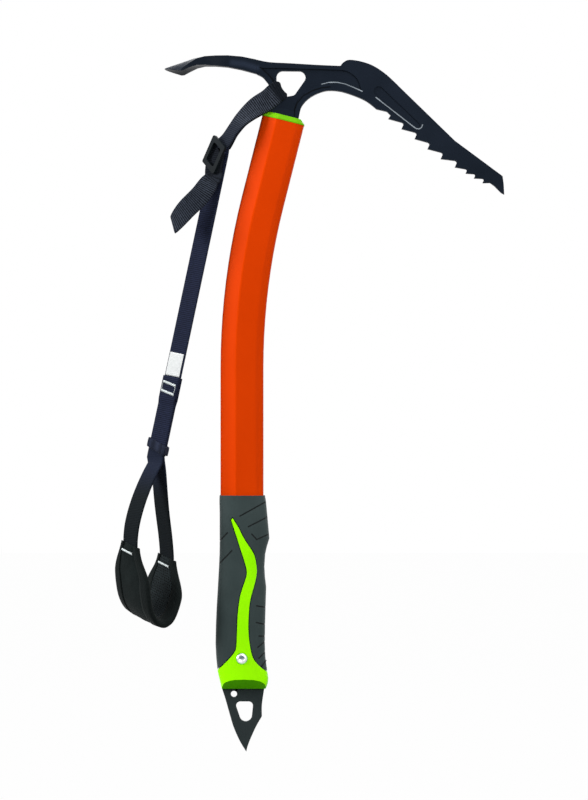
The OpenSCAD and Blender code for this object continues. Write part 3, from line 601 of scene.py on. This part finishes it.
# Painted shade on the tail's first stretch, where it lies in the buckle's window
tail_look = webbing("webbing_tail", rgb(5, 8, 13), rgb(58, 64, 76), 1.45, 1.0,
                    [(30, 20, rgb(12, 15, 21), 0.8)], COARSE_SPAN)
leg_look = webbing("webbing_leg", rgb(7, 11, 14), rgb(22, 28, 32), 1.2, 0.7,
                   [(42, 12, rgb(26, 32, 50), 0.75)])
plastic = moulded("buckle_plastic", rgb(14, 19, 22), rgb(25, 30, 34), 0.5, specular=0.03)
elastic = webbing("keeper_rubber", rgb(18, 22, 34), rgb(44, 50, 68), 0.9, 0.6)
cuff_look = cloth("cuff_cloth", rgb(8, 15, 15), rgb(23, 31, 31))
mesh_look = mesh_cloth()
bind_look = webbing("binding_tape", rgb(10, 14, 14), rgb(30, 36, 36), 0.9, 0.6)
pale_thread = thread()
label_look = cloth("label_cloth", rgb(200, 203, 203), rgb(217, 219, 219), 0.5)


# Rigid CAD nodes: welded, with softened edges, and with grooves cut into the grip
def groove_cutter(node, lines, radius=0.45, lift=0.2, count=26):
    """Hidden tubes, in millimetres, that sink lines (x, z) into a node's front and back.

    A line that runs off a side also goes round that side.
    """
    far_off, edge_share = 100, 0.0005
    mesh = nodes[node].data
    tree = BVHTree.FromPolygons([v.co for v in mesh.vertices], [p.vertices for p in mesh.polygons])

    def touch(at, s):
        hit = tree.ray_cast(Vector((at[0], s * far_off, at[2])) * MM, Vector((0, -s, 0)))[0]
        return None if hit is None else vec(*hit) / MM

    points, faces = [], []
    for (ax, az), (bx, bz) in lines:
        a, b = vec(ax, 0, az), vec(bx, 0, bz)
        if touch(a, -1) is None:
            a, b = b, a
        runs_off = touch(b, -1) is None
        inside, outside = (0.0 if runs_off else 1.0), 1.0
        while outside - inside > edge_share:
            half = (inside + outside) / 2
            if touch(a + (b - a) * half, -1) is None:
                outside = half
            else:
                inside = half
        shares = [k / count for k in range(count + 1)]
        if runs_off:
            shares = [inside * math.sin(math.pi / 2 * t) for t in shares]
        front, back = ([touch(a + (b - a) * t, s) for t in shares] for s in (-1, 1))
        flat = unit(np.cross(Y, b - a))
        for path in ([front + back[::-1]] if runs_off else [front, back[::-1]]):
            path = [q for q in path if q is not None]
            rings = []
            for i, o in enumerate(path):
                up = np.cross(direction(path, i), flat)
                rings.append(ring_round(o - up * lift, flat, up, radius))
            add_loft(points, faces, rings)
    cutter = mesh_piece(node + "_groove_cutter", points, faces, [(0.0, 0.0)] * len(points), [])
    cutter.hide_render = cutter.hide_viewport = True
    return cutter


WELD_MM = 0.01


def dress(node, material, bevel_mm=0.0, angle=32, cutter=None):
    """Material and modifiers of a CAD node; edges sharper than the angle are softened."""
    obj = nodes[node]
    obj.data.materials.clear()
    obj.data.materials.append(material)
    for polygon in obj.data.polygons:
        polygon.use_smooth = True
        polygon.material_index = 0
    if "custom_normal" in obj.data.attributes:
        obj.data.attributes.remove(obj.data.attributes["custom_normal"])
    weld = obj.modifiers.new("weld", "WELD")
    weld.merge_threshold = WELD_MM * MM
    if bevel_mm:
        bevel = obj.modifiers.new("soft_edges", "BEVEL")
        bevel.width = bevel_mm * MM
        bevel.segments = 3
        bevel.limit_method = "ANGLE"
        bevel.angle_limit = math.radians(angle)
        bevel.use_clamp_overlap = True
        bevel.harden_normals = True
    if cutter:
        cut = obj.modifiers.new("grooves", "BOOLEAN")
        cut.operation = "DIFFERENCE"
        cut.solver = "EXACT"
        cut.use_self = True
        cut.object = cutter
    normals = obj.modifiers.new("normals", "WEIGHTED_NORMAL")
    normals.keep_sharp = False


dress("head", steel, 0.7)
dress("head_collar", shaded_collar_lime, 0.25)
dress("tang_sleeve", resin)
dress("shaft", tube_look)
dress("grip", rubber, 0.35, 50, groove_cutter("grip", GROOVES))
dress("end_cap", lime, 0.3, 40)
dress("spike_plug", resin)
dress("spike", spike_look, 0.5)
dress("spike_rivet", rivet, 0.15)
dress("buckle", plastic, 0.7)

# The bar beside the head's eye, which the leash's bight goes round
bar_along, bar_out, bar_mid = vec(0.528, 0, -0.849), vec(-0.849, 0, -0.528), vec(-6.92, 0, -5.39)
bar_y = HEAD_T / 2 + RUN_GAP + half_t
bar_in = RUN_GAP + half_t

# Leash webbing: rear strap, bight through the eye and front layer in one length
RUN_OUT, BIGHT_OUT = 4.6, 1.2
STRAP_STEPS, STRAP_STOP = 60, 1.5
EYE_SPAN, EYE_CURL, EYE_SQUEEZE = 0.26, 1.2, 2.7
EDGE_TURN = 0.66
# The webbing lies this far to the left inside the buckle, so that it fills the buckle's window
BUCKLE_ASIDE = 2.2
front_end = strap_to_tool(vec(0, -tail_y, strap_top))
rear_end = strap_to_tool(vec(0, 0, strap_top))
front_run = [
    bar_mid + bar_out * RUN_OUT - Y * bar_y, vec(-16, -bar_y, -12.4), vec(-25.2, -bar_y, -18),
    vec(-34.6, -bar_y, -26.1), vec(-41.1, -bar_y, -34.1), vec(-45.9, -bar_y + 0.3, -41.2), front_end]
rear_run = [
    bar_mid + bar_out * RUN_OUT + Y * bar_y, vec(-16, bar_y + 1, -12.4), vec(-25.2, bar_y + 1.6, -18),
    vec(-34.5, bar_y - 1.2, -26.2), vec(-40.5, bar_y - 4.2, -34.4), vec(-45, bar_y - 6.6, -41.5), rear_end]


def bight_half(s):
    """From outside the bar to its inner side, behind it (s is 1) or before it (s is -1)."""
    return [bar_mid + bar_out * BIGHT_OUT + Y * s * (bar_y - 0.2),
            bar_mid - bar_out * bar_in * 0.75 + Y * s * (bar_y - 1.4),
            bar_mid - bar_out * bar_in + Y * s * HEAD_T / 4]


loop_path = curve(rear_run[::-1] + bight_half(1) + bight_half(-1)[::-1] + front_run, 6)
loop_last = len(loop_path) - 1
strap_step = (lap_end + strap_top - STRAP_STOP) / STRAP_STEPS
strap_line = [strap_to_tool(vec(0, 0, strap_step * k - lap_end)) for k in range(STRAP_STEPS)]
stations = [(o, strap_across, half_w, half_t, 0.0) for o in strap_line]
cuts = [0.0] * STRAP_STEPS
# from_middle is 0 in the eye and 1 at both ends, at the buckle
for i, o in enumerate(loop_path):
    from_middle = abs(2 * i / loop_last - 1)
    turned = rise(from_middle, 0.4, 1)
    in_eye = rise(from_middle, EYE_SPAN, 0)
    edged = rise(from_middle, 0.46, 0.76) * rise(from_middle, 1, 0.8)
    along = direction(loop_path, i)
    raw = bar_along + (strap_across - bar_along) * turned - Y * EDGE_TURN * edged
    lengthwise = along * float(raw @ along)
    square = unit(raw - lengthwise)
    across = unit(raw - lengthwise * (1 - turned))
    faces_out = float(np.cross(square, along) @ bar_out) > 0
    curl = (-EYE_CURL if faces_out else EYE_CURL) * in_eye
    if i > loop_last / 2:
        o = o - strap_across * BUCKLE_ASIDE / 2 * rise(from_middle, 0.86, 1)
    stations.append((o, square, (half_w - EYE_SQUEEZE * in_eye) * float(across @ square), half_t, curl))
    cuts.append(float(across @ along) / float(across @ square))
leash_runs = runs([station[0] for station in stations])
eye_run, buckle_run = leash_runs[STRAP_STEPS + loop_last // 2], leash_runs[-1]
# Painted shade on the front layer near the buckle, and on the rear run round the bar to just past the
# bight's middle
front_look = webbing("webbing_front", rgb(5, 8, 13), rgb(70, 76, 88), 1.45, 1.0,
                     [(buckle_run - 30, buckle_run - 16, rgb(20, 25, 36), 0.8),
                      (eye_run + 12, eye_run + 8, rgb(12, 16, 22), 0.9)], COARSE_SPAN)
leash, leash_length = band("leash_webbing", stations, front_look, cuts)
leash.data.materials.append(strap_look)
for polygon in leash.data.polygons:
    if polygon.center.z < rear_end[2] * MM:
        polygon.material_index = 1
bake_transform(leash)
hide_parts("leash_loop", "leash_strap")

# Tail: free end below the buckle, as shares of its length with a bend in millimetres
STRAIGHT = (0, 0, 0)
TAIL_POINTS = ((0, STRAIGHT), (0.1, STRAIGHT), (0.35, (0.6, -1.6, -1)), (0.68, (0, -1.6, 0)), (1, STRAIGHT))
TAIL_CUT_FROM = 0.76
tail_foot = strap_to_tool(vec(0, -tail_y - RUN_GAP, -BUCKLE_L / 2 - TAIL_BELOW))
tail_dir, tail_across = vec(-0.64, -0.1, -0.76), unit(vec(0.76, -0.08, -0.64))
tail_path = curve(
    [strap_to_tool(vec(0, -tail_y, z)) for z in (strap_top - RUN_GAP, 0, -BUCKLE_L / 2)]
    + [tail_foot + tail_dir * TAIL_LEN * share + vec(*bend) for share, bend in TAIL_POINTS], 8)
stations, cuts = [], []
for i, o in enumerate(tail_path):
    share = i / (len(tail_path) - 1)
    turned = rise(share, 0.43, 0.77)
    end = max(0.0, (share - TAIL_CUT_FROM) / (1 - TAIL_CUT_FROM))
    cuts.append(TAIL_CUT * end)
    across = strap_across + (tail_across - strap_across) * turned - Y * TAIL_CURL * end ** 2
    in_buckle = rise(share, -0.08, 0.08) * rise(share, 0.4, 0.2)
    stations.append((o - strap_across * BUCKLE_ASIDE * in_buckle, across, half_w, half_t, 0.0))
tail, tail_length = band("leash_tail_webbing", stations, tail_look, cuts)
tail_blend = [strap_to_tool(vec(0, -tail_y, z)) * MM for z in (strap_top - RUN_GAP, -BUCKLE_L / 2)]
tuple(tail_blend[0])
tuple(tail_blend[1])
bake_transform(tail)
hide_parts("leash_tail")

# Label sewn on the strap
LABEL_T, LABEL_INSET, LABEL_GAP, LABEL_STEPS = 0.4, 1.1, 0.5, 16
label_y = -half_t - FIT - LABEL_T / 2
label_top = -lap_end + LAP_LEN + LABEL_GAP + LABEL_L
stations = [(strap_to_tool(vec(0, label_y, label_top - LABEL_L * k / LABEL_STEPS)), strap_across,
             half_w - LABEL_INSET, LABEL_T / 2, 0.0) for k in range(LABEL_STEPS + 1)]
label, _ = band("leash_label_patch", stations, label_look)
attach(label, "leash")
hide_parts("leash_label")


def stitches(name, lines, material, radius=0.22):
    """Short threads, each a bowed tube from point a to point b, lifted along up."""
    points, faces = [], []
    for a, b, up in lines:
        axis = unit(b - a)
        side = unit(np.cross(axis, up))
        up = np.cross(side, axis)
        rings = []
        for t in np.linspace(0, 1, 5):
            bow = math.sin(math.pi * t)
            o = a + (b - a) * t + up * radius * (1.6 * bow - 0.6)
            rings.append(ring_round(o, side, up, radius * (0.75 + 0.25 * bow)))
        add_loft(points, faces, rings)
    return mesh_piece(name, points, faces, [(0.0, 0.0)] * len(points), [material])


TACK_TURNS = 13


def tack_lines(place, half_width, half_height, up):
    """Zigzag of a bar-tack in a plane given by place(x, z)."""
    lines = []
    step = 2 * half_width / TACK_TURNS
    for k in range(TACK_TURNS):
        x = step * k - half_width
        lines.append((place(x, -half_height), place(x + 0.25 * step, half_height), up))
        lines.append((place(x + 0.5 * step, half_height), place(x + step, -half_height), up))
    return lines


# Bar-tacks and side seams through the lap, on its front and back
LAP_TACKS, LAP_TACK_INSET, LAP_TACK_HALF, LAP_TACK_TILT = (4.2, 10.8), 1.6, 0.95, 8
SEAM_INSET, SEAM_FROM, SEAM_STEP, SEAM_STITCH, SEAM_COUNT = 1.5, 5.0, 1.5, 1.1, 4
THREAD_LIFT = 0.12
tack_slope = math.tan(math.radians(LAP_TACK_TILT))
lines = []
for s in (-1, 1):
    y = s * (layer_y + half_t + FIT + THREAD_LIFT)
    for foot in LAP_TACKS:
        def put(x, h, y=y, foot=foot):
            return strap_to_tool(vec(x, y, foot - lap_end + h - x * tack_slope))
        lines += tack_lines(put, half_w - LAP_TACK_INSET, LAP_TACK_HALF, strap_n * s)
    for x in (SEAM_INSET - half_w, half_w - SEAM_INSET):
        for k in range(SEAM_COUNT):
            z = SEAM_FROM + k * SEAM_STEP - lap_end
            ends = [strap_to_tool(vec(x, y, h)) for h in (z, z + SEAM_STITCH)]
            lines.append((*ends, strap_n * s))
tacks = stitches("lap_stitching", lines, pale_thread)
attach(tacks, "leash")
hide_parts("lap_tacks")

# Wrist webbing: lap layers and the stack down to the keeper bend at the sewn joint
STACK_END = 1.2 * KEEPER_H
LAP_STEPS, LAP_CLOSE, LAP_PAST = 40, 5.0, 0.8
leg_start = layer_y / 2
lap_step = (LAP_LEN + STRAP_LEN - lap_end + LAP_PAST) / LAP_STEPS
for s, side in SIDES:
    stations = []
    for k in range(LAP_STEPS + 1):
        z = LAP_LEN - lap_end - lap_step * k
        y = layer_y + (leg_start - layer_y) * rise(z, -lap_end, -lap_end - LAP_CLOSE)
        stations.append((strap_to_tool(vec(0, s * y, z)), strap_across * s, half_w, half_t, 0.0))
    upper, length = band("wrist_lap_" + side, stations, strap_look)
    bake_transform(upper)
    if s < 0:
        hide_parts("sewn_lap")

# Legs: below the keeper they part and go to the cuff, by shares of the cuff's half width and their length
LEG_SHARES = ((0.27, 0.28), (0.56, 0.5), (0.86, 0.77), (0.975, 0.93))
cuff_top = -LEG_LEN - 1
leg_path = curve([
    (leg_start + 0.5, -STACK_END - 4), *((a * CUFF_HALF, -b * LEG_LEN) for a, b in LEG_SHARES),
    (CUFF_HALF, cuff_top - 1.5)], 7)
leg_high, leg_low = leg_path[0][1], leg_path[-1][1]
for s, side in SIDES:
    stations = [(strap_to_tool(vec(0, s * leg_start, -STRAP_LEN - z)), strap_across * s, half_w, half_t, 0.0)
                for z in (0.4, 2.0, 4.0, 6.0, STACK_END)]
    for i, (y, z) in enumerate(leg_path):
        share = smooth(i / (len(leg_path) - 1))
        across = loop_turned(vec(1, 0, -math.tan(math.radians(LOOP_SHEAR * share))))
        bow = LEG_BOW * math.sin(math.pi * (z - leg_high) / (leg_low - leg_high))
        centre = loop_to_tool(tilted(vec(0, s * y - bow, z), share))
        stations.append((centre, across * s, half_w, half_t, 0.0))
    leg, length = band("wrist_leg_" + side, stations, leg_look)
    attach(leg, "wrist_loop")
    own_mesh(leg)
    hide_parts("wrist_strap_" + side)

# Cuff: crowned pad with an outer cloth, a mesh lining and a taped edge
CUFF_SHARES = [(1, 0), (0.985, 0.21), (0.9, 0.43), (0.78, 0.65), (0.58, 0.85), (0.3, 0.965), (0, 1)]
CROWN_LOW, CROWN_TURN = 0.38, 80
SEWN_AT, SEWN_DEPTH, SEWN_WIDTH = 0.62, 0.32, 0.55
CUFF_RIPPLES = ((0.28, 11, 3), (0.12, 4, 9))
CUFF_END_T, CUFF_END_STEPS = 0.55, 5
ACROSS = np.linspace(-1, 1, 25)
cuff_points = [(a * CUFF_HALF, cuff_top - b * CUFF_H) for a, b in CUFF_SHARES]
cuff_points += [(-y, z) for y, z in cuff_points[-2::-1]]
cuff_path = curve(cuff_points, 6)
cuff_last = len(cuff_path) - 1
cuff_runs = runs(cuff_path)


def from_end(i):
    """Steps from station i to the nearer end of the cuff."""
    return min(i, cuff_last - i)


def cuff_widening(i):
    return smooth(5 * from_end(i) / cuff_last)


def cuff_half_w(i):
    return (CUFF_END_W + (CUFF_W - CUFF_END_W) * cuff_widening(i)) / 2


def skin_at(u):
    """Height of the cloth over the crowned pad's middle sheet, at u from -1 to 1 across."""
    crown = CROWN_LOW + (1 - CROWN_LOW) * math.cos(math.radians(CROWN_TURN * u))
    return FOAM_T / 2 * crown + FIT + SKIN_T


def cuff_place(i, u, v):
    """Point at station i, at u across, v millimetres out from the middle sheet."""
    y, z = cuff_path[i]
    t = direction(cuff_path, i)
    x = CUFF_SHIFT * cuff_widening(i) + cuff_half_w(i) * u
    return loop_to_tool(tilted(vec(x, y - t[1] * v, z + t[0] * v - x * shear)))


def cuff_height(i, u, sign):
    """Height of the rippled cloth, outside with its sewn channels (sign is 1) or inside (sign is -1)."""
    at = cuff_place(i, u, 0)
    ripple = sum(depth * noise.noise(Vector(at / size) + Vector((seed, 0, 0)))
                 for depth, size, seed in CUFF_RIPPLES)
    from_seam = (abs(u) - SEWN_AT) * cuff_half_w(i)
    seam = SEWN_DEPTH * math.exp(-(from_seam / SEWN_WIDTH) ** 2) if sign > 0 else 0.0
    full = CUFF_END_T + (1 - CUFF_END_T) * smooth(from_end(i) / CUFF_END_STEPS)
    return skin_at(u) * full + ripple * (1 - abs(u) ** 6) - seam


around = [(u, sign) for sign in (1, -1) for u in ACROSS[::sign]]
rings, uvs = [], []
for i in range(cuff_last + 1):
    rings.append([cuff_place(i, u, sign * cuff_height(i, u, sign)) for u, sign in around])
    uvs += [(u * cuff_half_w(i) * MM, cuff_runs[i] * MM) for u, _ in around]
points, faces = loft(rings)
face_materials = [int(all(q % len(around) >= len(ACROSS) for q in face)) for face in faces]
cuff = mesh_piece("cuff_pad_cover", points, faces, uvs, [cuff_look, mesh_look], face_materials)
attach(cuff, "wrist_loop")
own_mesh(cuff)
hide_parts("cuff_shell", "cuff_pad", "cuff_lining")

# Taped edge: wraps over both faces of the pad along each long side
TAPE_END_W, TAPE_WIDENS, TAPE_OVER, TAPE_UNDER = 1.8, 4.4, 0.5, 0.35
TAPE_NOSE = ((0.9, 0.95), (1.5, 0.6), (1.7, 0.0))
YARN_MM = 0.7


def tape_profile(i):
    """Closed section of the tape at station i, as u and v of cuff_place."""
    w = cuff_half_w(i)
    tape_w = TAPE_END_W + TAPE_WIDENS * smooth(4 * from_end(i) / cuff_last)
    covered = [1 - tape_w / w * (1 - k / 4) for k in range(5)]
    outer = [(u, skin_at(u) + TAPE_OVER) for u in covered]
    inner = [(u, skin_at(u) - TAPE_UNDER) for u in covered]
    nose = [(1 + out / w, skin_at(1) * share) for out, share in TAPE_NOSE]
    lower = [(u, -v) for u, v in (outer + nose[:2])[::-1]]
    return outer + nose + lower + [(u, -v) for u, v in inner] + inner[::-1]


points, faces, uvs = [], [], []
for side in (-1, 1):
    rings = []
    for i in range(cuff_last + 1):
        profile = tape_profile(i)
        rings.append([cuff_place(i, side * u, v) for u, v in profile])
        uvs += [(k * YARN_MM * MM, cuff_runs[i] * MM) for k in range(len(profile))]
    add_loft(points, faces, rings[::-side])
tape = mesh_piece("cuff_edge_tape", points, faces, uvs, [bind_look])
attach(tape, "wrist_loop")
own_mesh(tape)
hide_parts("cuff_binding")

# Bar-tacks of the legs, through the cuff: they show on its outer and inner faces
CUFF_TACK_DOWN, CUFF_TACK_INSET, CUFF_TACK_HALF, CUFF_TACK_LIFT, CUFF_TACK_STATION = 7, 2, 0.8, 0.49, 4
lines = []
for s in (-1, 1):
    for face in (-1, 1):
        def put(x, h, s=s, face=face):
            out = skin_at(x / cuff_half_w(CUFF_TACK_STATION)) + CUFF_TACK_LIFT
            y = s * (0.995 * CUFF_HALF + face * out)
            return loop_to_tool(tilted(vec(x, y, -LEG_LEN - CUFF_TACK_DOWN + h - x * shear)))
        lines += tack_lines(put, half_w - CUFF_TACK_INSET, CUFF_TACK_HALF, loop_n * s * face)
cuff_tacks = stitches("cuff_stitching", lines, pale_thread)
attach(cuff_tacks, "wrist_loop")
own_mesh(cuff_tacks)
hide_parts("cuff_tacks")

# Keeper: woven elastic band round the stack, its section as (out, up) shares of its wall and half height
KEEPER_SECTION = ((0, -1), (0, 1), (0.35, 1.08), (0.9, 1), (1, 0.5), (1, -0.5), (0.9, -1), (0.35, -1.08))
KEEPER_TURNS = 64
keeper_in = half_w + RUN_GAP
keeper_y = knuckle_r + RUN_GAP
keeper_half = KEEPER_H / 2


def squared(t, power):
    """t with its sign kept and its size raised to a small power, which squares a round outline."""
    return math.copysign(abs(t) ** power, t)


rings, uvs = [], []
for k in range(KEEPER_TURNS):
    a = 2 * math.pi * k / KEEPER_TURNS
    sideways, forward = squared(math.cos(a), 0.16), squared(math.sin(a), 0.3)
    ring = []
    for out, up in KEEPER_SECTION:
        x = (keeper_in + KEEPER_WALL * out) * sideways
        y = (keeper_y + KEEPER_WALL * out) * forward
        ring.append(strap_to_tool(vec(x, y, 0.96 * keeper_half * up - x * shear - STRAP_LEN)))
        uvs.append((up * keeper_half * MM, k * YARN_MM * MM))
    rings.append(ring)
rings.append(rings[0])
uvs += uvs[:len(KEEPER_SECTION)]
points, faces = loft(rings, closed_ends=False)
keeper = mesh_piece("keeper_band", points, faces, uvs, [elastic])
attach(keeper, "keeper")
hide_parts("keeper")


# Stage and light, in metres and watts
FLOOR_Z, FLOOR_HALF, FLOOR_GREY, FLOOR_SEEN = -0.56, 6, 0.2, 0.985
WORLD_LIGHT = 0.22
MIDDLE = Vector((0.0, 0.0, -0.22))
LAMPS = (
    ("key", (-2.4, -0.45, 0.8), (0.9, 1.4), 90),
    ("fill", (1.3, -1.9, 1.1), (1.4, 1.6), 54),
    ("top", (0.2, -0.3, 1.5), (1.4, 0.8), 12),
    ("back", (0.4, 1.6, 0.6), (1.4, 1.2), 14),
)


def seen_directly(tree):
    """1 for camera, glossy and transmission rays, 0 for the light that falls on things."""
    rays = tree.nodes.new("ShaderNodeLightPath").outputs
    seen = rays["Is Camera Ray"]
    for kind in ("Is Glossy Ray", "Is Transmission Ray"):
        either = tree.nodes.new("ShaderNodeMath")
        either.operation = "MAXIMUM"
        tree.links.new(seen, either.inputs[0])
        tree.links.new(rays[kind], either.inputs[1])
        seen = either.outputs[0]
    return seen


def floor_look():
    """Grey that takes light, and almost white where it is seen."""
    k = Look("floor", roughness=0.9)
    k.shader.inputs["Base Color"].default_value = (FLOOR_GREY, FLOOR_GREY, FLOOR_GREY, 1)
    mixer = k.node("ShaderNodeMixShader")
    k.link(k.math("MULTIPLY", seen_directly(k.tree), FLOOR_SEEN), mixer.inputs[0])
    k.link(k.shader.outputs[0], mixer.inputs[1])
    k.link(k.node("ShaderNodeEmission").outputs[0], mixer.inputs[2])
    k.link(mixer.outputs[0], k.tree.nodes["Material Output"].inputs["Surface"])
    return k.mat


floor_mesh = bpy.data.meshes.new("floor")
corners = [(x * FLOOR_HALF, y * FLOOR_HALF, FLOOR_Z) for x, y in ((-1, -1), (1, -1), (1, 1), (-1, 1))]
floor_mesh.from_pydata(corners, [], [(0, 1, 2, 3)])
floor_mesh.materials.append(floor_look())
floor = bpy.data.objects.new("floor", floor_mesh)
bpy.context.scene.collection.objects.link(floor)

world = bpy.data.worlds.new("studio")
bpy.context.scene.world = world
world.use_nodes = True
tree = world.node_tree
level = tree.nodes.new("ShaderNodeMapRange")
level.inputs["To Min"].default_value = WORLD_LIGHT
level.inputs["To Max"].default_value = 1.0
background = tree.nodes["Background"]
background.inputs["Color"].default_value = (1, 1, 1, 1)
tree.links.new(seen_directly(tree), level.inputs["Value"])
tree.links.new(level.outputs["Result"], background.inputs["Strength"])

for name, place, size, power in LAMPS:
    softbox = bpy.data.lights.new(name, "AREA")
    softbox.shape = "RECTANGLE"
    softbox.size, softbox.size_y = size
    softbox.energy = power
    lamp = bpy.data.objects.new(name, softbox)
    lamp.location = place
    lamp.rotation_euler = (MIDDLE - Vector(place)).to_track_quat("-Z", "Y").to_euler()
    bpy.context.scene.collection.objects.link(lamp)

bpy.context.scene.view_settings.view_transform = "Standard"
